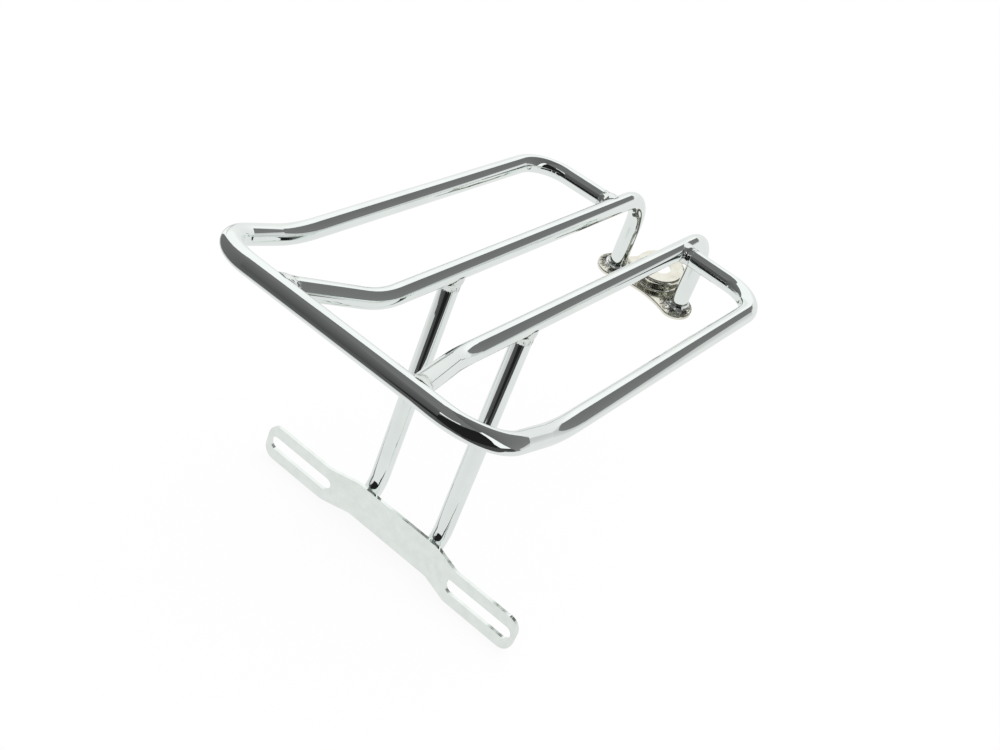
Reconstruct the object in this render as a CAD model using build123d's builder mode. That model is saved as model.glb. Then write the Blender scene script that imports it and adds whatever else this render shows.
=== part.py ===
"""Welded tube luggage rack for a motorcycle, with a slotted licence-plate bracket.

Millimetres. The origin is the centre of the seat-bolt hole, on top of the boss of the front mount plate.
+Y points forward along the machine, +X to its right and +Z up. The level rails run along Y.
"""

import os
from math import cos, radians, sin, sqrt, tan

from build123d import *

# Tube stock, and the blunt tip left where a tube is coped to the axis of the one that carries it
tube_d = 12.7
tube_wall = 1.6
cope_tip = 1.0

# Top frame: centrelines, seen from above, with the bolt hole at y = 0
rail_height = 50.7
inner_spacing = 57.6
inner_rear_spacing = 96.0
side_front_spacing = 194.0
side_rear_spacing = 196.4
front_bar_y = -61.6
front_bar_sweep = 1.6
kick_y = -321.5
rear_bar_y = -393.6
rear_rise = 19.6
front_corner_r = 27.0
rear_corner_r = 30.0
side_kick_r = 130.0
inner_kick_r = 77.0

# Legs, bent down from the front of the inner rails
leg_y = -17.7
leg_lean = 4.9
leg_bend_r = 30.0

# Front mount plate, pressed from sheet and rising towards the front
seat_tilt = 14.0
plate_t = 2.5
plate_edge_r = 0.8
boss_r = 19.0
boss_h = 8.0
boss_edge_r = 2.0
flange_w = 4.0
bolt_hole_d = 16.0
ear_r = 12.7
ear_setback = 3.5
ear_waist = 5.5
neck_r = 22.0

# Struts, hanging from the inner rails and turned rearward at the foot
strut_y = -252.3
strut_lean = 1.7
strut_drop = 189.6
foot_angle = 38.0
foot_setback = 9.8
foot_bend_r = 26.0

# Plate bracket, a joggled strip with one slot in each arm
strip_w = 26.8
strip_t = 2.5
strip_corner_r = 9.0
middle_length = 70.0
joggle_run = 21.0
joggle_depth = 7.0
joggle_r = 12.0
slot_spacing = 160.0
slot_length = 55.6
slot_w = 10.0
slot_end_wall = 3.2

# Fillet welds between two tubes: reach along the carrying tube, rise up the joining one, swell at its flanks
saddle_reach = 2.8
saddle_rise = 5.8
saddle_flank = 0.4

# Fillet welds of a tube end on a flat face
foot_reach = 2.6
foot_rise = 3.2

# Every weld is hollow-sided, and ends in a thin toe
weld_hollow = 0.35
weld_toe = 0.06

# How far a tube's path runs past the plane that cuts its end
overrun = 12.0

tube_r = tube_d / 2
SIDES = {"left": -1, "right": 1}
os.makedirs("parts", exist_ok=True)


def mirrored(side, point):
    """Puts a point of the right-hand half on the given side."""
    x, y, z = Vector(point)
    return Vector(side * x, y, z)


def tube_path(points, radii):
    """Straight runs joined by tangent bends."""
    with BuildLine() as path:
        FilletPolyline(*points, radius=radii)
    return path.wire()


def rod(path):
    """Solid round bar along a path: the outside of a tube, used to cope what meets it."""
    with BuildPart() as bar:
        with BuildSketch(Plane(origin=path @ 0, z_dir=path % 0)):
            Circle(tube_r)
        sweep(path=path)
    return bar.part


def bore(path):
    """Solid of the empty space inside a tube."""
    with BuildPart() as hollow:
        with BuildSketch(Plane(origin=path @ 0, z_dir=path % 0)):
            Circle(tube_r - tube_wall)
        sweep(path=path)
    return hollow.part


# Outer frame path, from the left inner rail round the back to the right inner rail
inner_x = inner_spacing / 2
rear_z = rail_height + rear_rise


def front_bar_point(x):
    """Point on the right front bar, which sweeps back towards its corner."""
    return (x, front_bar_y - x * tan(radians(front_bar_sweep)), rail_height)


half_frame = [
    front_bar_point(inner_x + cope_tip),
    front_bar_point(side_front_spacing / 2),
    (side_rear_spacing / 2, kick_y, rail_height),
    (side_rear_spacing / 2, rear_bar_y, rear_z),
]
frame_points = [mirrored(-1, p) for p in half_frame] + [mirrored(1, p) for p in reversed(half_frame)]
half_radii = [front_corner_r, side_kick_r, rear_corner_r]
frame_path = tube_path(frame_points, half_radii + half_radii[::-1])
frame_rod = rod(frame_path)

# Planes that the leg feet and the strut feet stand on
seat_plane = Plane(origin=(0, 0, 0), x_dir=(1, 0, 0), z_dir=(0, -sin(radians(seat_tilt)), cos(radians(seat_tilt))))
ear_plane = seat_plane.offset(-boss_h)
leg_dir = Vector(0, sin(radians(leg_lean)), -cos(radians(leg_lean)))
leg_corner = Vector(inner_x, leg_y, rail_height)
leg_length = (ear_plane.origin - leg_corner).dot(ear_plane.z_dir) / leg_dir.dot(ear_plane.z_dir)
leg_foot = leg_corner + leg_dir * leg_length
bracket_z = rail_height - strut_drop
bracket_y = strut_y + strut_drop * tan(radians(strut_lean)) - foot_setback
bracket_plane = Plane(origin=(0, bracket_y, bracket_z), x_dir=(-1, 0, 0), z_dir=(0, 1, 0))

# Inner rails and struts, as paths
rail_paths = {}
strut_paths = {}
foot_drop = foot_setback / (tan(radians(foot_angle)) + tan(radians(strut_lean)))
foot_corner = Vector(inner_x, bracket_y + foot_drop * tan(radians(foot_angle)), bracket_z + foot_drop)
foot_dir = Vector(0, -sin(radians(foot_angle)), -cos(radians(foot_angle)))
foot_trim = 2 * (overrun + tube_d)
strut_joint = Vector(inner_x, strut_y, rail_height)
strut_start = strut_joint + (foot_corner - strut_joint).normalized() * cope_tip
rail_kick = Vector(inner_x, kick_y, rail_height)
rail_joint = Vector(inner_rear_spacing / 2, rear_bar_y, rear_z)
rail_start = rail_joint + (rail_kick - rail_joint).normalized() * cope_tip
for name, side in SIDES.items():
    rail_paths[name] = tube_path(
        [
            mirrored(side, rail_start),
            mirrored(side, rail_kick),
            mirrored(side, leg_corner),
            mirrored(side, leg_corner + leg_dir * (leg_length + overrun)),
        ],
        [inner_kick_r, leg_bend_r],
    )
    foot_end = foot_corner + foot_dir * (foot_drop / cos(radians(foot_angle)) + overrun)
    strut_paths[name] = tube_path(
        [
            mirrored(side, strut_start),
            mirrored(side, foot_corner),
            mirrored(side, foot_end),
        ],
        foot_bend_r,
    )
rail_rods = {name: rod(path) for name, path in rail_paths.items()}
strut_rods = {name: rod(path) for name, path in strut_paths.items()}

# Outer frame, coped to the inner rails
with BuildPart() as outer_frame:
    add(frame_rod)
    add(bore(frame_path), mode=Mode.SUBTRACT)
    for rail in rail_rods.values():
        add(rail, mode=Mode.SUBTRACT)
outer_frame.part.label = "outer_frame"
export_step(outer_frame.part, "parts/outer_frame.step")

# Inner rails, coped to the rear bar and cut flat on the ears
for name in SIDES:
    with BuildPart() as inner_rail:
        add(rail_rods[name])
        add(bore(rail_paths[name]), mode=Mode.SUBTRACT)
        add(frame_rod, mode=Mode.SUBTRACT)
        split(bisect_by=ear_plane, keep=Keep.TOP)
    inner_rail.part.label = f"inner_rail_{name}"
    export_step(inner_rail.part, f"parts/inner_rail_{name}.step")

# Struts, coped to the inner rails and cut flat on the bracket
for name, side in SIDES.items():
    with BuildPart() as strut:
        add(strut_rods[name])
        add(bore(strut_paths[name]), mode=Mode.SUBTRACT)
        add(rail_rods[name], mode=Mode.SUBTRACT)
        with BuildSketch(bracket_plane):
            with Locations((-side * inner_x, 0)):
                Rectangle(2 * tube_d, foot_trim)
        extrude(amount=-foot_trim, mode=Mode.SUBTRACT)
    strut.part.label = f"strut_{name}"
    export_step(strut.part, f"parts/strut_{name}.step")

# Plate bracket: the joggled strip seen from above, raised to its width, then slotted and rounded at its ends
strip_y = bracket_y - strip_t / 2
arm_y = strip_y - joggle_depth
strip_length = slot_spacing + slot_length + 2 * slot_end_wall
with BuildPart() as plate_bracket:
    with BuildSketch(Plane.XY.offset(bracket_z - strip_w / 2)):
        with BuildLine():
            FilletPolyline(
                (-strip_length / 2, arm_y),
                (-middle_length / 2 - joggle_run, arm_y),
                (-middle_length / 2, strip_y),
                (middle_length / 2, strip_y),
                (middle_length / 2 + joggle_run, arm_y),
                (strip_length / 2, arm_y),
                radius=joggle_r,
            )
        trace(line_width=strip_t)
    extrude(amount=strip_w)
    with BuildSketch(Plane(origin=(0, arm_y, bracket_z), x_dir=(1, 0, 0), z_dir=(0, -1, 0))):
        with GridLocations(slot_spacing, 0, 2, 1):
            SlotOverall(slot_length, slot_w)
    extrude(amount=strip_t, both=True, mode=Mode.SUBTRACT)
    end_edges = plate_bracket.edges().filter_by(Axis.Y).group_by(Axis.X)
    fillet(end_edges[0] + end_edges[-1], strip_corner_r)
plate_bracket.part.label = "plate_bracket"
export_step(plate_bracket.part, "parts/plate_bracket.step")

# Front mount plate: its outline is ears, a waist behind and necks to the flange of the boss
foot_on_plate = ear_plane.to_local_coords(leg_foot)
ear = Vector(foot_on_plate.X, foot_on_plate.Y - ear_setback)
flange_r = boss_r + flange_w
waist_y = ear.Y - ear_r + ear_waist
waist_r = (ear.X**2 + (ear.Y - waist_y) ** 2 - ear_r**2) / (2 * (ear_r - ear.Y + waist_y))
waist_centre = Vector(0, waist_y - waist_r)
waist_end = ear + (waist_centre - ear).normalized() * ear_r


def neck_centre():
    """Centre of the hollow arc that touches the ear and the flange on the outer front side."""
    to_ear = ear_r + neck_r
    to_boss = flange_r + neck_r
    along = (to_boss**2 - to_ear**2 + ear.length**2) / (2 * ear.length)
    across = sqrt(to_boss**2 - along**2)
    direction = ear.normalized()
    return direction * along + Vector(-direction.Y, direction.X) * across


neck = neck_centre()
neck_start = ear + (neck - ear).normalized() * ear_r
neck_end = neck.normalized() * flange_r
neck_middle = neck - (neck.normalized() + (neck - ear).normalized()).normalized() * neck_r
ear_tip = ear + (ear - Vector(0, ear.Y)).normalized() * ear_r

with BuildPart() as front_mount_plate:
    with BuildSketch(ear_plane):
        with BuildLine():
            ThreePointArc((-waist_end.X, waist_end.Y), (0, waist_y), waist_end)
            ThreePointArc(waist_end, ear_tip, neck_start)
            ThreePointArc(neck_start, neck_middle, neck_end)
            ThreePointArc(neck_end, (0, flange_r), (-neck_end.X, neck_end.Y))
            ThreePointArc((-neck_end.X, neck_end.Y), (-neck_middle.X, neck_middle.Y), (-neck_start.X, neck_start.Y))
            ThreePointArc((-neck_start.X, neck_start.Y), (-ear_tip.X, ear_tip.Y), (-waist_end.X, waist_end.Y))
        make_face()
    extrude(amount=-plate_t)
    plate_top = front_mount_plate.faces().sort_by(Axis(ear_plane.origin, ear_plane.z_dir))[-1]
    fillet(plate_top.edges(), plate_edge_r)
    with BuildSketch(ear_plane):
        Circle(boss_r)
    extrude(amount=boss_h)
    with BuildSketch(ear_plane.offset(-plate_t)):
        Circle(boss_r - plate_t)
    extrude(amount=boss_h, mode=Mode.SUBTRACT)
    with BuildSketch(seat_plane):
        Circle(bolt_hole_d / 2)
    extrude(amount=-2 * plate_t, mode=Mode.SUBTRACT)
    boss_edges = front_mount_plate.edges().filter_by(GeomType.CIRCLE)
    fillet([e for e in boss_edges if abs(e.radius - boss_r) < plate_t / 4], boss_edge_r)
front_mount_plate.part.label = "front_mount_plate"
export_step(front_mount_plate.part, "parts/front_mount_plate.step")


# Sections of a weld, from its root to its toe: share of its rise, share of its reach
weld_sections = [(0, 1), (weld_hollow, weld_hollow), (1, 0)]


def saddle_weld(label, base, cutters):
    """Fillet weld around the coped end of a tube.

    base: plane at the blunt tips of the cope, its x along the carrying tube and its z along the joining one.
    """
    with BuildPart() as bead:
        with BuildSketch(base):
            Ellipse(tube_r + weld_toe + saddle_reach, tube_r + weld_toe + saddle_flank)
        extrude(amount=tube_r - cope_tip)
        for up, out in weld_sections:
            with BuildSketch(base.offset(tube_r - cope_tip + saddle_rise * up)):
                Ellipse(tube_r + weld_toe + saddle_reach * out, tube_r + weld_toe + saddle_flank * out)
        loft(ruled=True)
        for cutter in cutters:
            add(cutter, mode=Mode.SUBTRACT)
    bead.part.label = label
    export_step(bead.part, f"parts/{label}.step")


def foot_weld(label, seat, foot, direction, tube):
    """Fillet weld around a tube that stands on a flat face, with its sections parallel to that face.

    seat: plane of the face. foot: point where the tube's axis meets it. direction: along the tube, away from it.
    """
    upright = direction.dot(seat.z_dir)
    with BuildPart() as bead:
        for up, out in weld_sections:
            centre = foot + direction * (foot_rise * up / upright)
            grow = weld_toe + foot_reach * out
            with BuildSketch(Plane(origin=centre, x_dir=(1, 0, 0), z_dir=seat.z_dir)):
                Ellipse(tube_r + grow, tube_r / upright + grow)
        loft(ruled=True)
        add(tube, mode=Mode.SUBTRACT)
    bead.part.label = label
    export_step(bead.part, f"parts/{label}.step")


for name, side in SIDES.items():
    bar_end = mirrored(side, front_bar_point(inner_x + cope_tip))
    bar_dir = mirrored(side, front_bar_point(side_front_spacing / 2)) - bar_end
    front_base = Plane(origin=bar_end, x_dir=(0, 1, 0), z_dir=bar_dir)
    saddle_weld(f"weld_front_{name}", front_base, [frame_rod, rail_rods[name]])
    rear_base = Plane(origin=rail_paths[name] @ 0, x_dir=(1, 0, 0), z_dir=rail_paths[name] % 0)
    saddle_weld(f"weld_rear_{name}", rear_base, [frame_rod, rail_rods[name]])
    strut_base = Plane(origin=strut_paths[name] @ 0, x_dir=(0, 1, 0), z_dir=strut_paths[name] % 0)
    saddle_weld(f"weld_strut_top_{name}", strut_base, [strut_rods[name], rail_rods[name]])
    strut_foot = mirrored(side, (inner_x, bracket_y, bracket_z))
    foot_weld(f"weld_strut_foot_{name}", bracket_plane, strut_foot, -foot_dir, strut_rods[name])
    foot_weld(f"weld_leg_{name}", ear_plane, mirrored(side, leg_foot), -leg_dir, rail_rods[name])
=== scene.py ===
"""Chromed luggage rack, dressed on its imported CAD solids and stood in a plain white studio.

Blender 4.5. Metres, in the row's own frame: the origin is the seat-bolt hole, +Y is forward and +Z is up.
"""

from __future__ import annotations

import logging
import math
from dataclasses import dataclass
from enum import Enum
from typing import Any

import bpy
from mathutils import Matrix, Vector, noise

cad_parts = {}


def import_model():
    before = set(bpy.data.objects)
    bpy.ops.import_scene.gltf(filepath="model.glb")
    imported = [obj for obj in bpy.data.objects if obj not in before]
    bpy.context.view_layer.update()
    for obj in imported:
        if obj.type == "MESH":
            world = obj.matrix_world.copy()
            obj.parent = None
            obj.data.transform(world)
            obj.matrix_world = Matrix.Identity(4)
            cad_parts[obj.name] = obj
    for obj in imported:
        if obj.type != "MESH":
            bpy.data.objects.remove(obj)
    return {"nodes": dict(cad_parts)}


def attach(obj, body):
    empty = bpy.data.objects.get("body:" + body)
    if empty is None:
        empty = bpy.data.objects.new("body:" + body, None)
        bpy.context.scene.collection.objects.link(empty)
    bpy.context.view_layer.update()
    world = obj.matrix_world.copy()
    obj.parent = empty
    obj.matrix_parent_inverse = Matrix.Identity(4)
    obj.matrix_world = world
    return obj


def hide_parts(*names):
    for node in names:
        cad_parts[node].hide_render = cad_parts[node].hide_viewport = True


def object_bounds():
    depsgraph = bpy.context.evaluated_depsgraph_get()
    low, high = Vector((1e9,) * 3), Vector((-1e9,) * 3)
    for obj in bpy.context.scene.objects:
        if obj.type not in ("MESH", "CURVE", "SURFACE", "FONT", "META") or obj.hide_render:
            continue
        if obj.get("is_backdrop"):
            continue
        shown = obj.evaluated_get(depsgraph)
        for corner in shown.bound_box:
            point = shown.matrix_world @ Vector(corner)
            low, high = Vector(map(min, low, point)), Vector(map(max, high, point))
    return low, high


LOG = logging.getLogger("luggage_rack")
MM = 0.001
# From the rack towards the camera, in the row's frame
CAMERA_BACK = (0.33941, -0.76812, 0.54299)
Direction = tuple[float, float]
Triple = tuple[float, float, float]


def srgb(code: str) -> tuple[float, float, float, float]:
    """Turns an sRGB hex colour into linear values.

    Args:
        code: Colour as "#RRGGBB".

    Returns:
        Linear red, green and blue, and a full opacity.
    """
    parts = [int(code[i : i + 2], 16) / 255 for i in (1, 3, 5)]
    linear = [p / 12.92 if p <= 0.04045 else ((p + 0.055) / 1.055) ** 2.4 for p in parts]
    return (linear[0], linear[1], linear[2], 1.0)


def add_node(
    tree: bpy.types.NodeTree, kind: str, inputs: dict[Any, Any] | None = None, **settings: Any
) -> bpy.types.Node:
    """Adds one shader node, sets its options and fills or links its sockets.

    Args:
        tree: Node tree that takes the node.
        kind: Blender's type name of the node.
        inputs: Socket name or number to a plain value, or to the output socket that feeds it.
        settings: Options of the node itself, such as operation.

    Returns:
        The new node.
    """
    node = tree.nodes.new(kind)
    for option, value in settings.items():
        setattr(node, option, value)
    for socket, value in (inputs or {}).items():
        if isinstance(value, bpy.types.NodeSocket):
            tree.links.new(value, node.inputs[socket])
        else:
            node.inputs[socket].default_value = value
    return node


def place_in_scene(name: str, mesh: bpy.types.Mesh) -> bpy.types.Object:
    """Makes an object of a mesh and links it to the scene.

    Args:
        name: Name of the object.
        mesh: Its mesh.

    Returns:
        The new object.
    """
    obj = bpy.data.objects.new(name, mesh)
    bpy.context.scene.collection.objects.link(obj)
    return obj


@dataclass(frozen=True)
class ChromePlate:
    """Bright nickel-chrome plating: a mirror that keeps the polish, and the faults, of the steel below it.

    Attributes:
        name: Name of the material.
        colour: Colour of the metal where its polish is clearest.
        cloud_colour: Colour of the cloudy parts.
        roughness: Blur of the mirror on its clearest parts.
        haze: Extra blur in the cloudy parts.
        cloud_mm: Width of those clouds.
        wave_mm: Length of the waves that buffing leaves in the surface.
        wave_height_mm: Height of those waves.
        mark_mm: Width of the buffing marks, drawn wider than real ones, which are too fine to show.
        mark_height_mm: Depth of the buffing marks.
        tint_span: Cloud thickness at which the colour starts to turn, and at which it has turned.
        haze_span: Cloud thickness at which the blur starts, and at which it is full.
    """

    name: str
    colour: str
    cloud_colour: str
    roughness: float
    haze: float
    cloud_mm: float
    wave_mm: float
    wave_height_mm: float
    mark_mm: float
    mark_height_mm: float
    tint_span: tuple[float, float] = (0.35, 0.7)
    haze_span: tuple[float, float] = (0.4, 0.75)

    def bump(
        self,
        tree: bpy.types.NodeTree,
        place: bpy.types.NodeSocket,
        size_mm: float,
        height: float | bpy.types.NodeSocket,
        under: bpy.types.NodeSocket | None,
    ) -> bpy.types.NodeSocket:
        """Adds one layer of relief.

        Args:
            tree: Node tree that takes the nodes.
            place: Object coordinates.
            size_mm: Width of the relief's humps.
            height: Height of the humps in metres, as a number or a socket.
            under: Normal socket of the layer below, or None.

        Returns:
            The normal after this layer.
        """
        humps = add_node(
            tree, "ShaderNodeTexNoise", {"Vector": place, "Scale": 1 / (size_mm * MM), "Detail": 2.0}
        )
        inputs = {"Height": humps.outputs["Fac"], "Strength": 1.0, "Distance": height}
        if under is not None:
            inputs["Normal"] = under
        return add_node(tree, "ShaderNodeBump", inputs).outputs["Normal"]

    def relief(self, tree: bpy.types.NodeTree, place: bpy.types.NodeSocket) -> bpy.types.NodeSocket:
        """Builds the surface's long waves and fine marks.

        Args:
            tree: Node tree that takes the nodes.
            place: Object coordinates.

        Returns:
            The surface's normal.
        """
        waves = self.bump(tree, place, self.wave_mm, self.wave_height_mm * MM, None)
        return self.bump(tree, place, self.mark_mm, self.mark_height_mm * MM, waves)

    def tint(
        self, tree: bpy.types.NodeTree, place: bpy.types.NodeSocket, cloud: bpy.types.NodeSocket
    ) -> bpy.types.NodeSocket:
        """Builds the metal's colour, which turns a little duller in the clouds.

        Args:
            tree: Node tree that takes the nodes.
            place: Object coordinates.
            cloud: Thickness of the clouds, from 0 to 1.

        Returns:
            The colour.
        """
        start, end = self.tint_span
        thick = add_node(tree, "ShaderNodeMapRange", {"Value": cloud, "From Min": start, "From Max": end})
        mix = {
            "Fac": thick.outputs["Result"],
            "Color1": srgb(self.colour),
            "Color2": srgb(self.cloud_colour),
        }
        return add_node(tree, "ShaderNodeMixRGB", mix).outputs["Color"]

    def material(self) -> bpy.types.Material:
        """Builds the plating's shader.

        Returns:
            The material, ready to assign.
        """
        material = bpy.data.materials.new(self.name)
        material.use_nodes = True
        tree = material.node_tree
        shader = tree.nodes["Principled BSDF"]
        shader.inputs["Metallic"].default_value = 1.0
        place = add_node(tree, "ShaderNodeTexCoord").outputs["Object"]
        cloud = add_node(
            tree,
            "ShaderNodeTexNoise",
            {"Vector": place, "Scale": 1 / (self.cloud_mm * MM), "Detail": 3.0, "Roughness": 0.6},
        ).outputs["Fac"]
        blur = add_node(
            tree,
            "ShaderNodeMapRange",
            {
                "Value": cloud,
                "From Min": self.haze_span[0],
                "From Max": self.haze_span[1],
                "To Min": self.roughness,
                "To Max": self.roughness + self.haze,
            },
        )
        tree.links.new(self.tint(tree, place, cloud), shader.inputs["Base Color"])
        tree.links.new(blur.outputs["Result"], shader.inputs["Roughness"])
        tree.links.new(self.relief(tree, place), shader.inputs["Normal"])
        return material


@dataclass(frozen=True)
class PressedPlate(ChromePlate):
    """Chrome plating on a pressed piece that is pitted beside its welds, with a painted dark reflection
    mottled over the same places.

    Attributes:
        weld_places_mm: Middle of each weld on the piece.
        painted_dark_reflection_colour: Darker colour painted beside the welds as a mottled dark
            reflection.
        pit_and_dark_reach_mm: How far from a weld's middle the pitting and the painted dark reflection go.
        pit_and_dark_fade_mm: Width over which they fade out.
        pit_mm: Width of the pits.
        pit_depth_mm: Depth of the pits.
        patch_span: Strength of the mottle at which a patch of painted dark reflection starts, and at which
            it is full.
    """

    weld_places_mm: tuple[Triple, ...] = ()
    # Grey-brown painted beside the welds as a dark reflection
    painted_dark_reflection_colour: str = "#6E6C66"
    pit_and_dark_reach_mm: float = 14.0
    pit_and_dark_fade_mm: float = 4.0
    pit_mm: float = 2.4
    pit_depth_mm: float = 0.8
    patch_span: tuple[float, float] = (0.34, 0.58)

    def closeness(self, tree: bpy.types.NodeTree, place: bpy.types.NodeSocket) -> bpy.types.NodeSocket:
        """Finds how near each point lies to a weld.

        Args:
            tree: Node tree that takes the nodes.
            place: Object coordinates.

        Returns:
            1 beside a weld, falling to 0 away from it.
        """
        reaches = []
        for middle in self.weld_places_mm:
            ends = {0: place, 1: tuple(value * MM for value in middle)}
            reach = add_node(tree, "ShaderNodeVectorMath", ends, operation="DISTANCE")
            reaches.append(reach.outputs["Value"])
        nearest = add_node(tree, "ShaderNodeMath", {0: reaches[0], 1: reaches[-1]}, operation="MINIMUM")
        fade = {
            "Value": nearest.outputs[0],
            "From Min": (self.pit_and_dark_reach_mm - self.pit_and_dark_fade_mm) * MM,
            "From Max": self.pit_and_dark_reach_mm * MM,
            "To Min": 1.0,
            "To Max": 0.0,
        }
        return add_node(tree, "ShaderNodeMapRange", fade).outputs["Result"]

    def tint(
        self, tree: bpy.types.NodeTree, place: bpy.types.NodeSocket, cloud: bpy.types.NodeSocket
    ) -> bpy.types.NodeSocket:
        """Adds the painted dark reflection beside the welds, as darker mottled patches, to the metal's
        colour.

        Args:
            tree: Node tree that takes the nodes.
            place: Object coordinates.
            cloud: Thickness of the clouds, from 0 to 1.

        Returns:
            The colour.
        """
        bright = super().tint(tree, place, cloud)
        mottle = {"Vector": place, "Scale": 1 / (2 * self.pit_mm * MM), "Detail": 2.0}
        spots = add_node(tree, "ShaderNodeTexNoise", mottle)
        start, end = self.patch_span
        patch = add_node(
            tree, "ShaderNodeMapRange", {"Value": spots.outputs["Fac"], "From Min": start, "From Max": end}
        )
        share = {0: patch.outputs["Result"], 1: self.closeness(tree, place)}
        # Painted dark reflection: darkens the plate's colour in mottled patches beside the welds
        painted_dark_share = add_node(tree, "ShaderNodeMath", share, operation="MULTIPLY")
        mix = {"Fac": painted_dark_share.outputs[0], "Color1": bright, "Color2": srgb(self.painted_dark_reflection_colour)}
        return add_node(tree, "ShaderNodeMixRGB", mix).outputs["Color"]

    def relief(self, tree: bpy.types.NodeTree, place: bpy.types.NodeSocket) -> bpy.types.NodeSocket:
        """Adds the pits beside the welds to the surface's waves and marks.

        Args:
            tree: Node tree that takes the nodes.
            place: Object coordinates.

        Returns:
            The surface's normal.
        """
        depth = add_node(
            tree,
            "ShaderNodeMapRange",
            {"Value": self.closeness(tree, place), "To Min": 0.0, "To Max": self.pit_depth_mm * MM},
        )
        return self.bump(tree, place, self.pit_mm, depth.outputs["Result"], super().relief(tree, place))


class Finish(Enum):
    """The platings of the rack, by what lies under the chrome."""

    # Drawn tube, buffed along its length before plating: the clearest mirror, with only faint long waves
    TUBE = ChromePlate(
        name="chrome_on_buffed_tube",
        colour="#F4FAF7",
        cloud_colour="#EFF5F2",
        roughness=0.02,
        haze=0.015,
        cloud_mm=30.0,
        wave_mm=26.0,
        wave_height_mm=0.008,
        mark_mm=1.2,
        mark_height_mm=0.0001,
    )
    # Cut and bent strip, buffed flat by hand: a paler, slightly cloudy mirror with a faint mottle
    STRIP = ChromePlate(
        name="chrome_on_buffed_strip",
        colour="#F4FAF6",
        cloud_colour="#ECF2EE",
        roughness=0.05,
        haze=0.06,
        cloud_mm=7.0,
        wave_mm=12.0,
        wave_height_mm=0.01,
        mark_mm=2.0,
        mark_height_mm=0.0006,
    )
    # Pressed plate, plated thin, so the warm nickel shows through it; pitted beside the welds of the legs,
    # with a painted dark reflection mottled there
    PRESSING = PressedPlate(
        name="thin_chrome_on_pressed_plate",
        colour="#F2F1E5",
        cloud_colour="#E9E6D8",
        roughness=0.12,
        haze=0.06,
        cloud_mm=9.0,
        wave_mm=14.0,
        wave_height_mm=0.01,
        mark_mm=2.0,
        mark_height_mm=0.0004,
        weld_places_mm=((-28.8, -14.5, -11.6), (28.8, -14.5, -11.6)),
    )
    # Weld metal, plated over its ripples with little buffing: bright but broken into small glints
    WELD = ChromePlate(
        name="chrome_on_weld_bead",
        colour="#F0F5F2",
        cloud_colour="#E2E7E4",
        roughness=0.06,
        haze=0.06,
        cloud_mm=2.5,
        wave_mm=2.2,
        wave_height_mm=0.01,
        mark_mm=0.6,
        mark_height_mm=0.0008,
    )


@dataclass
class PhotoCamera:
    """The photograph's viewpoint: behind the rack, to its right and above, and tipped sideways.

    Attributes:
        eye_mm: Place of the lens.
        right: Direction of the picture's right side.
        back: Direction from the rack towards the camera.
        lens_mm: Focal length.
        sensor_mm: Width of the sensor.
        clip_start: Nearest distance that shows, in metres.
        clip_end: Farthest distance that shows, in metres.
    """

    eye_mm: Triple = (299.952, -875.031, 449.410)
    right: Triple = (0.75472, 0.56683, 0.33025)
    back: Triple = CAMERA_BACK
    lens_mm: float = 48.69
    sensor_mm: float = 36.0
    clip_start: float = 0.01
    clip_end: float = 50.0

    def build(self) -> bpy.types.Object:
        """Makes the camera and hands it to the scene.

        Returns:
            The camera object.
        """
        data = bpy.data.cameras.new("photo_camera")
        data.lens = self.lens_mm
        data.sensor_width = self.sensor_mm
        data.sensor_fit = "HORIZONTAL"
        data.clip_start = self.clip_start
        data.clip_end = self.clip_end
        camera = bpy.data.objects.new("photo_camera", data)
        bpy.context.scene.collection.objects.link(camera)
        back = Vector(self.back).normalized()
        up = back.cross(Vector(self.right)).normalized()
        right = up.cross(back)
        turn = Matrix((right, up, back)).transposed().to_4x4()
        camera.matrix_world = Matrix.Translation(Vector(self.eye_mm) * MM) @ turn
        bpy.context.scene.camera = camera
        return camera


@dataclass(frozen=True)
class Card:
    """One plain surface of the studio, between two edges that are given by their directions from the rack.

    Attributes:
        name: Name of the surface.
        low: Azimuth and elevation of the points of its one edge.
        high: Azimuth and elevation of the points of its other edge.
        greys: Its shade at the one edge and at the other.
        distance: How far it stands from the rack, in metres.
    """

    name: str
    low: tuple[Direction, ...]
    high: tuple[Direction, ...]
    greys: tuple[str, str]
    distance: float


def along_edge(edge: tuple[Direction, ...], share: float) -> Direction:
    """Finds a direction part of the way along an edge.

    Args:
        edge: Azimuth and elevation of its points.
        share: How far along it, from 0 to 1.

    Returns:
        The azimuth and elevation there.
    """
    runs = [math.dist(a, b) for a, b in zip(edge, edge[1:])]
    left = share * sum(runs)
    for (a, b), run in zip(zip(edge, edge[1:]), runs):
        if left <= run:
            return (a[0] + (b[0] - a[0]) * left / run, a[1] + (b[1] - a[1]) * left / run)
        left -= run
    return edge[-1]


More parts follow.
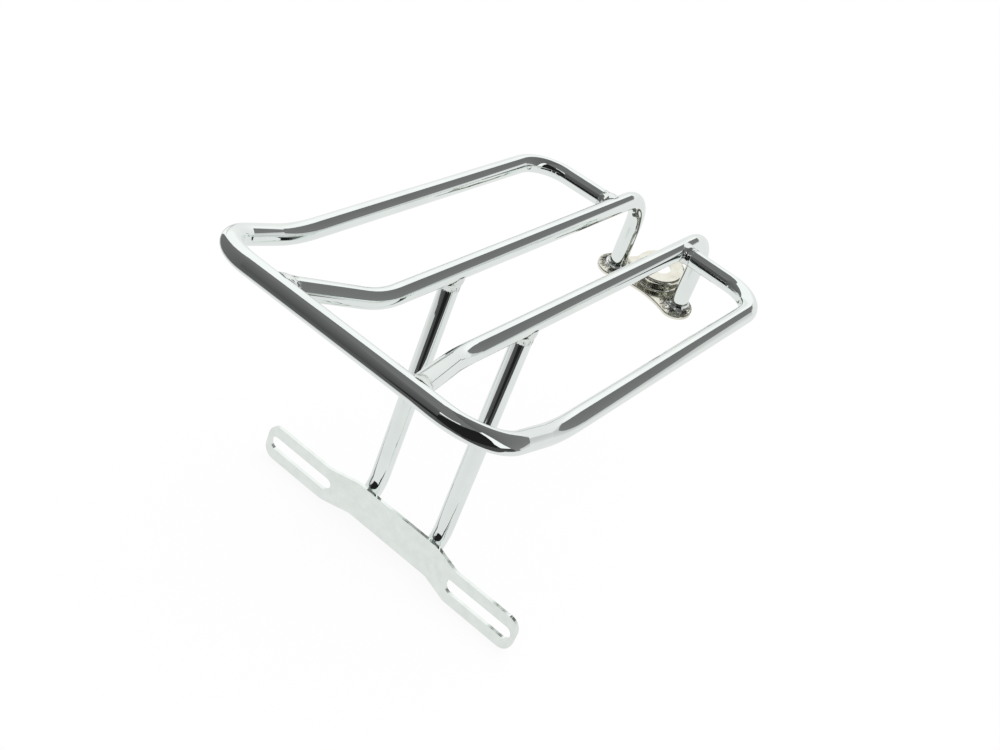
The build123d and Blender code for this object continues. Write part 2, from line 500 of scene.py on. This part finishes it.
# The plain surfaces round the rack, placed where the tubes' stripes show them
STUDIO_CARDS: tuple[Card, ...] = (
    Card(
        name="left_wall",
        low=((-146.0, -50.0), (-146.0, 66.0)),
        high=((-80.0, -50.0), (-80.0, 63.0)),
        greys=("#727272", "#606060"),
        distance=14.0,
    ),
    Card(
        name="left_wall_end",
        low=((-80.0, -50.0), (-80.0, 63.0)),
        high=(
            (-22.0, -50.0),
            (-22.0, -9.0),
            (-50.0, 1.0),
            (-60.0, 4.0),
            (-62.5, 10.0),
            (-61.0, 18.0),
            (-58.0, 30.0),
            (-55.0, 46.0),
            (-64.0, 54.0),
            (-80.0, 63.0),
        ),
        greys=("#606060", "#4A4A4A"),
        distance=14.0,
    ),
    Card(
        name="right_wall",
        low=((58.0, -50.0), (152.0, -50.0)),
        high=((62.0, 38.0), (80.0, 62.0), (110.0, 70.0), (150.0, 62.0), (160.0, 45.0)),
        greys=("#868686", "#5E5E5E"),
        distance=14.0,
    ),
    Card(
        name="camera_side",
        low=((-70.0, -50.0), (62.0, -50.0)),
        high=(
            (-70.0, 40.0),
            (-60.0, 46.0),
            (-52.0, 52.0),
            (-30.0, 61.0),
            (0.0, 63.0),
            (30.0, 64.0),
            (60.0, 58.0),
            (68.0, 45.0),
        ),
        greys=("#222222", "#1E1E1E"),
        distance=16.0,
    ),
    Card(
        name="dark_floor",
        low=((-24.0, -50.0), (62.0, -50.0)),
        high=((-24.0, -15.0), (0.0, -15.0), (30.0, -18.0), (62.0, -24.0)),
        greys=("#484848", "#484848"),
        distance=12.0,
    ),
    Card(
        name="paper_sweep",
        low=((-143.0, -40.0), (-180.0, -42.0), (-217.0, -30.0), (-217.0, -8.0)),
        high=(
            (-143.0, 30.0),
            (-150.0, 46.0),
            (-160.0, 52.0),
            (-172.0, 49.0),
            (-184.0, 42.0),
            (-194.0, 37.0),
            (-203.0, 31.0),
            (-207.0, 18.0),
            (-209.0, 8.0),
            (-216.0, -6.0),
        ),
        greys=("#FFFFFF", "#FFFFFF"),
        distance=6.5,
    ),
    Card(
        name="strip_lamp",
        low=((38.0, -14.0), (38.0, 8.0), (43.0, 18.0), (50.0, 32.0), (58.0, 46.0), (64.0, 54.0)),
        high=((58.0, -18.0), (58.0, 4.0), (60.0, 16.0), (65.0, 28.0), (73.0, 42.0), (80.0, 52.0)),
        greys=("#FFFFFF", "#FFFFFF"),
        distance=4.5,
    ),
    Card(
        name="overhead_bar",
        low=((-61.0, 52.5), (-52.0, 58.5), (-40.0, 62.0), (-20.0, 65.0), (2.0, 66.0)),
        high=((-66.0, 60.0), (-56.0, 64.0), (-40.0, 67.0), (-20.0, 70.0), (2.0, 71.0)),
        greys=("#FFFFFF", "#FFFFFF"),
        distance=4.5,
    ),
)


@dataclass
class Studio:
    """A white table and paper sweep in a grey room, dark behind the camera, with one strip lamp beside it.

    The rack stood on the table tipped forward, on its bracket and its front plate, so the studio's own
    upright is tipped from the row's. Azimuth 0 is towards the camera and 90 is to its right; elevation is
    above the table. Each point of the table's edges gives metres to the right and towards the camera, from
    below the rack's middle, and the height that the paper is turned up there.

    Attributes:
        tilt_deg: How far the studio's upright is tipped from the row's.
        middle_mm: Point of the rack that the directions are taken from.
        camera_back: Direction from the rack towards the camera.
        table_drop: How far the table lies below that point, in metres.
        left_edge: The table's left edge, from its back to its front.
        front_edge: The table's front edge, from left to right.
        right_edge: The table's right edge, from its front to its back.
        flap_grey: Shade of the turned-up paper at its top.
        table_greys: Shade of the table at its back and at its front.
        room: Shade of the room beyond the cards.
        columns: How many strips a card is divided into along its edges.
        rows: How many strips it is divided into between them.
        floor_size: Width of the floor, in metres.
        floor_colour: Colour of the floor's paper.
        floor_glow: Share of plain white in what the camera sees of the floor.
        sky_light: Strength of the even light from all round.
        sun_strength: Strength of the soft overhead lamp.
        sun_angle_deg: Its width, as an angle seen from the rack.
        sun_turn_deg: Its tilt from straight overhead.
        cards: The plain surfaces round the rack.
    """

    tilt_deg: float = 27.6
    middle_mm: Triple = (0.0, -180.0, 30.0)
    camera_back: Triple = CAMERA_BACK
    table_drop: float = 0.126
    left_edge: tuple[Triple, ...] = (
        (-1.20, -1.60, 0.09),
        (-0.25, -0.33, 0.09),
        (-0.33, -0.12, 0.09),
        (-0.40, 0.02, 0.09),
        (-0.41, 0.12, 0.09),
        (-0.42, 0.35, 0.09),
    )
    front_edge: tuple[Triple, ...] = (
        (-0.42, 0.60, 0.0),
        (-0.25, 0.58, 0.0),
        (-0.05, 0.42, 0.0),
        (0.02, 0.33, 0.0),
        (0.15, 0.40, 0.0),
    )
    right_edge: tuple[Triple, ...] = (
        (0.24, 0.25, 0.09),
        (0.31, 0.05, 0.09),
        (0.34, -0.07, 0.105),
        (0.45, -0.17, 0.075),
        (0.57, -0.27, 0.045),
        (0.64, -0.40, 0.045),
        (0.76, -0.70, 0.045),
        (0.93, -1.17, 0.045),
        (1.12, -1.65, 0.045),
    )
    flap_grey: str = "#C8C8C8"
    table_greys: tuple[str, str] = ("#FCFCFC", "#E2E2E2")
    room: str = "#727272"
    columns: int = 96
    rows: int = 16
    floor_size: float = 12.0
    floor_colour: str = "#F8F8F8"
    floor_glow: float = 0.9
    sky_light: float = 0.75
    sun_strength: float = 1.2
    sun_angle_deg: float = 60.0
    sun_turn_deg: Triple = (-12.0, 8.0, 0.0)
    cards: tuple[Card, ...] = STUDIO_CARDS

    def axes(self) -> tuple[Vector, Vector, Vector]:
        """Works out the studio's right, towards-camera and up directions.

        Returns:
            The three unit vectors, in the row's frame.
        """
        tilt = math.radians(self.tilt_deg)
        up = Vector((0.0, -math.sin(tilt), math.cos(tilt)))
        back = Vector(self.camera_back)
        toward = (back - up * back.dot(up)).normalized()
        return up.cross(toward), toward, up

    def point(self, azimuth: float, elevation: float, distance: float) -> Vector:
        """Finds the place of a studio direction.

        Args:
            azimuth: Degrees from the camera's side, positive to the right.
            elevation: Degrees above the table.
            distance: Metres from the rack's middle.

        Returns:
            The point, in the row's frame.
        """
        right, toward, up = self.axes()
        a, e = math.radians(azimuth), math.radians(elevation)
        way = right * (math.cos(e) * math.sin(a)) + toward * (math.cos(e) * math.cos(a)) + up * math.sin(e)
        return Vector(self.middle_mm) * MM + way * distance

    def glow_material(self) -> bpy.types.Material:
        """Builds the evenly lit paper of the cards and the table, with its grey taken from each corner.

        Returns:
            The material that they share.
        """
        material = bpy.data.materials.new("studio_paper")
        material.use_nodes = True
        material.cycles.emission_sampling = "NONE"
        tree = material.node_tree
        tree.nodes.clear()
        grey = add_node(tree, "ShaderNodeAttribute", attribute_name="grey")
        glow = add_node(tree, "ShaderNodeEmission", {"Color": grey.outputs["Color"], "Strength": 1.0})
        add_node(tree, "ShaderNodeOutputMaterial", {"Surface": glow.outputs["Emission"]})
        return material

    def stage_surface(
        self,
        name: str,
        points: list[Vector],
        faces: list[tuple[int, ...]],
        shades: list[float],
        greys: tuple[str, str],
        material: bpy.types.Material,
    ) -> bpy.types.Object:
        """Makes one studio surface that only reflections see.

        Args:
            name: Name of the surface.
            points: Its points.
            faces: Its faces, by point number.
            shades: For each point, how far its shade lies from the first grey to the second.
            greys: The two greys.
            material: The shared paper.

        Returns:
            The surface's object.
        """
        mesh = bpy.data.meshes.new(name)
        mesh.from_pydata(points, [], faces)
        first, second = (Vector(srgb(grey)) for grey in greys)
        layer = mesh.color_attributes.new("grey", "FLOAT_COLOR", "POINT")
        for index, share in enumerate(shades):
            layer.data[index].color = first.lerp(second, share)
        mesh.materials.append(material)
        obj = place_in_scene(name, mesh)
        obj.visible_camera = False
        obj.visible_diffuse = False
        obj.visible_shadow = False
        obj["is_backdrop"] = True
        return obj

    def build_card(self, card: Card, material: bpy.types.Material) -> bpy.types.Object:
        """Makes one card as a grid between its two edges.

        Args:
            card: The surface to make.
            material: The shared paper.

        Returns:
            The card's object.
        """
        points, shades, faces = [], [], []
        for column in range(self.columns + 1):
            low = along_edge(card.low, column / self.columns)
            high = along_edge(card.high, column / self.columns)
            for row in range(self.rows + 1):
                share = row / self.rows
                azimuth = low[0] + (high[0] - low[0]) * share
                elevation = low[1] + (high[1] - low[1]) * share
                points.append(self.point(azimuth, elevation, card.distance))
                shades.append(share)
        step = self.rows + 1
        for column in range(self.columns):
            for row in range(self.rows):
                corner = column * step + row
                faces.append((corner, corner + step, corner + step + 1, corner + 1))
        return self.stage_surface(card.name, points, faces, shades, card.greys, material)

    def build_table(self, material: bpy.types.Material) -> list[bpy.types.Object]:
        """Makes the table top that the tubes mirror, shaded from back to front, and its turned-up sides.

        Args:
            material: The shared paper.

        Returns:
            The top and its two sides.
        """
        right, toward, up = self.axes()
        below = Vector(self.middle_mm) * MM - up * self.table_drop
        outline = self.left_edge + self.front_edge + self.right_edge
        nearest = max(y for _, y, _ in outline)
        depth = nearest - min(y for _, y, _ in outline)
        points = [below + right * x + toward * y for x, y, _ in outline]
        shades = [1.0 - (nearest - y) / depth for _, y, _ in outline]
        face = tuple(range(len(points)))
        made = [self.stage_surface("table_top", points, [face], shades, self.table_greys, material)]
        greys = (self.table_greys[1], self.flap_grey)
        for name, edge in (("left_flap", self.left_edge), ("right_flap", self.right_edge)):
            foot = [below + right * x + toward * y for x, y, _ in edge]
            head = [point + up * rise for point, (_, _, rise) in zip(foot, edge)]
            count = len(edge)
            faces = [(i, i + 1, count + i + 1, count + i) for i in range(count - 1)]
            shades = [0.0] * count + [1.0] * count
            made.append(self.stage_surface(name, foot + head, faces, shades, greys, material))
        return made

    def build_floor(self, height: float) -> bpy.types.Object:
        """Makes the pale floor under the rack, which keeps a soft shadow and hides nothing from below.

        Args:
            height: Level of the floor, in metres.

        Returns:
            The floor's object.
        """
        half = self.floor_size / 2
        mesh = bpy.data.meshes.new("studio_floor")
        corners = [(-half, -half), (half, -half), (half, half), (-half, half)]
        mesh.from_pydata([(x, y, height) for x, y in corners], [], [(0, 1, 2, 3)])
        material = bpy.data.materials.new("white_paper_floor")
        material.use_nodes = True
        tree = material.node_tree
        tree.nodes.clear()
        matte = add_node(tree, "ShaderNodeBsdfDiffuse", {"Color": srgb(self.floor_colour)})
        glow = add_node(tree, "ShaderNodeEmission", {"Color": srgb("#FFFFFF"), "Strength": 1.0})
        path = add_node(tree, "ShaderNodeLightPath")
        share = add_node(
            tree,
            "ShaderNodeMath",
            {0: path.outputs["Is Camera Ray"], 1: self.floor_glow},
            operation="MULTIPLY",
        )
        paper = add_node(
            tree, "ShaderNodeMixShader", {0: share.outputs[0], 1: matte.outputs[0], 2: glow.outputs[0]}
        )
        clear = add_node(tree, "ShaderNodeBsdfTransparent")
        side = add_node(tree, "ShaderNodeNewGeometry")
        faces = {0: side.outputs["Backfacing"], 1: paper.outputs[0], 2: clear.outputs[0]}
        sheet = add_node(tree, "ShaderNodeMixShader", faces)
        add_node(tree, "ShaderNodeOutputMaterial", {"Surface": sheet.outputs[0]})
        mesh.materials.append(material)
        floor = place_in_scene("studio_floor", mesh)
        floor.visible_glossy = False
        floor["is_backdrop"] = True
        return floor

    def build_world(self) -> None:
        """Sets the world: white to the eye, a grey room to reflections, and a soft light elsewhere."""
        world = bpy.data.worlds.new("studio_room")
        bpy.context.scene.world = world
        world.use_nodes = True
        tree = world.node_tree
        tree.nodes.clear()
        path = add_node(tree, "ShaderNodeLightPath")
        mirror = add_node(
            tree,
            "ShaderNodeMath",
            {0: path.outputs["Is Glossy Ray"], 1: path.outputs["Is Transmission Ray"]},
            operation="MAXIMUM",
        )
        sky = srgb("#FFFFFF")
        soft = (self.sky_light, self.sky_light, self.sky_light, 1.0)
        seen = add_node(
            tree, "ShaderNodeMixRGB", {"Fac": path.outputs["Is Camera Ray"], "Color1": soft, "Color2": sky}
        )
        shown = add_node(
            tree,
            "ShaderNodeMixRGB",
            {"Fac": mirror.outputs[0], "Color1": seen.outputs["Color"], "Color2": srgb(self.room)},
        )
        back = add_node(tree, "ShaderNodeBackground", {"Color": shown.outputs["Color"], "Strength": 1.0})
        add_node(tree, "ShaderNodeOutputWorld", {"Surface": back.outputs["Background"]})

    def build_sun(self) -> bpy.types.Object:
        """Hangs the wide soft lamp that gives the floor its shadow.

        Returns:
            The lamp's object.
        """
        data = bpy.data.lights.new("overhead_softbox", "SUN")
        data.energy = self.sun_strength
        data.angle = math.radians(self.sun_angle_deg)
        lamp = bpy.data.objects.new("overhead_softbox", data)
        bpy.context.scene.collection.objects.link(lamp)
        lamp.rotation_euler = [math.radians(angle) for angle in self.sun_turn_deg]
        lamp.visible_glossy = False
        return lamp

    def build(self, lowest: float) -> list[bpy.types.Object]:
        """Builds the whole studio.

        Args:
            lowest: Level that the floor lies at, in metres.

        Returns:
            Its surfaces and its lamp.
        """
        paper = self.glow_material()
        made = [self.build_card(card, paper) for card in self.cards]
        made += self.build_table(paper)
        made.append(self.build_floor(lowest))
        self.build_world()
        made.append(self.build_sun())
        return made


class Joint(Enum):
    """Where the rack is welded: the start of the nodes' names, and the way that the joining tube runs."""

    FRONT_BAR = ("weld_front", (1.0, 0.0, 0.0))
    REAR_BAR = ("weld_rear", (0.0, 0.96, -0.26))
    STRUT_TOP = ("weld_strut_top", (0.0, 0.03, -1.0))
    STRUT_FOOT = ("weld_strut_foot", (0.0, 0.62, 0.79))
    LEG = ("weld_leg", (0.0, -0.09, 1.0))


@dataclass
class WeldBeads:
    """The fillet welds as laid: each CAD weld, with the ripples and lumps of the bead raised on it.

    Attributes:
        nodes: The CAD nodes, by name.
        plating: Material of the beads.
        grain_mm: Size of the bead's mesh.
        ripple_mm: Step from one ripple of the bead to the next.
        ripple_height_mm: Height of a ripple.
        lump_mm: Width of the bead's uneven lumps.
        lump_height_mm: Height of those lumps.
        sink_mm: How far the bead lies below its CAD weld, so that its blunt toes run out inside the tubes.
    """

    nodes: dict[str, bpy.types.Object]
    plating: bpy.types.Material
    grain_mm: float = 0.3
    ripple_mm: float = 1.6
    ripple_height_mm: float = 0.06
    lump_mm: float = 3.4
    lump_height_mm: float = 0.14
    sink_mm: float = 0.1

    def refine(self, node: bpy.types.Object) -> bpy.types.Mesh:
        """Copies a CAD weld as one fine, even mesh.

        Args:
            node: The CAD weld.

        Returns:
            The new mesh.
        """
        copy = place_in_scene("weld_copy", node.data.copy())
        remesh = copy.modifiers.new("fine", "REMESH")
        remesh.mode = "VOXEL"
        remesh.voxel_size = self.grain_mm * MM
        mesh = bpy.data.meshes.new_from_object(copy.evaluated_get(bpy.context.evaluated_depsgraph_get()))
        spare = copy.data
        bpy.data.objects.remove(copy)
        bpy.data.meshes.remove(spare)
        return mesh

    def ripple(self, mesh: bpy.types.Mesh, axis: Vector) -> None:
        """Raises the bead's ripples, which follow each other round the joint, and its lumps.

        Args:
            mesh: The bead's mesh.
            axis: Direction of the tube that the bead goes round.
        """
        count = len(mesh.vertices)
        middle = sum((vertex.co for vertex in mesh.vertices), Vector()) / count
        side = axis.orthogonal().normalized()
        front = axis.cross(side)
        moves = []
        for vertex in mesh.vertices:
            arm = vertex.co - middle
            turn = math.atan2(arm.dot(side), arm.dot(front))
            reach = (arm - axis * arm.dot(axis)).length
            phase = turn * reach / (self.ripple_mm * MM) + arm.dot(axis) / (2 * self.ripple_mm * MM)
            ripple = abs(math.sin(math.pi * phase)) - 0.5
            lump = noise.noise(vertex.co / (self.lump_mm * MM))
            rise = self.ripple_height_mm * ripple + self.lump_height_mm * lump - self.sink_mm
            moves.append(vertex.normal * (rise * MM))
        for vertex, move in zip(mesh.vertices, moves):
            vertex.co += move

    def lay(self, name: str, axis: Vector) -> bpy.types.Object:
        """Lays the bead of one weld in place of its CAD solid.

        Args:
            name: Name of the CAD weld.
            axis: Direction of the tube that the bead goes round.

        Returns:
            The bead's object.
        """
        mesh = self.refine(self.nodes[name])
        self.ripple(mesh, axis)
        mesh.polygons.foreach_set("use_smooth", [True] * len(mesh.polygons))
        mesh.materials.clear()
        mesh.materials.append(self.plating)
        mesh.name = f"{name}_bead"
        bead = place_in_scene(f"{name}_bead", mesh)
        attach(bead, "root")
        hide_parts(name)
        return bead

    def build(self) -> list[bpy.types.Object]:
        """Lays every bead of the rack.

        Returns:
            The beads, joint by joint.
        """
        beads = []
        for joint in Joint:
            stem, way = joint.value
            for side in ("left", "right"):
                beads.append(self.lay(f"{stem}_{side}", Vector(way).normalized()))
        return beads


@dataclass
class Rack:
    """The welded rack itself: tubes, strip, pressing and welds, each dressed in its plating.

    Attributes:
        nodes: The CAD nodes, by name.
        pieces: The nodes that each plating goes on. All the others are welds.
    """

    nodes: dict[str, bpy.types.Object]
    pieces: tuple[tuple[Finish, tuple[str, ...]], ...] = (
        (Finish.TUBE, ("outer_frame", "inner_rail_left", "inner_rail_right", "strut_left", "strut_right")),
        (Finish.STRIP, ("plate_bracket",)),
        (Finish.PRESSING, ("front_mount_plate",)),
    )

    def dress(self) -> list[tuple[str, str]]:
        """Gives every CAD node its plating, and lays the weld beads.

        Returns:
            The name of each piece and the name of its plating.
        """
        weld = Finish.WELD.value.material()
        platings = {name: weld for name in self.nodes}
        for finish, names in self.pieces:
            plating = finish.value.material()
            platings.update({name: plating for name in names})
        for name, node in self.nodes.items():
            node.data.materials.clear()
            node.data.materials.append(platings[name])
        dressed = [(name, plating.name) for name, plating in platings.items()]
        return dressed + [(bead.name, weld.name) for bead in WeldBeads(self.nodes, weld).build()]


def main() -> None:
    """Loads the frame, builds the camera, the rack and the studio in turn, and reports each piece."""
    logging.basicConfig(level=logging.INFO, format="%(name)s: %(message)s")
    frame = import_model()
    cad_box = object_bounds()
    bpy.context.scene.view_settings.view_transform = "Standard"
    LOG.info("camera %s", PhotoCamera().build().name)
    for piece, plating in Rack(frame["nodes"]).dress():
        LOG.info("piece %s in %s", piece, plating)
    for surface in Studio().build(cad_box[0].z):
        LOG.info("stage %s", surface.name)


if __name__ == "__main__":
    main()
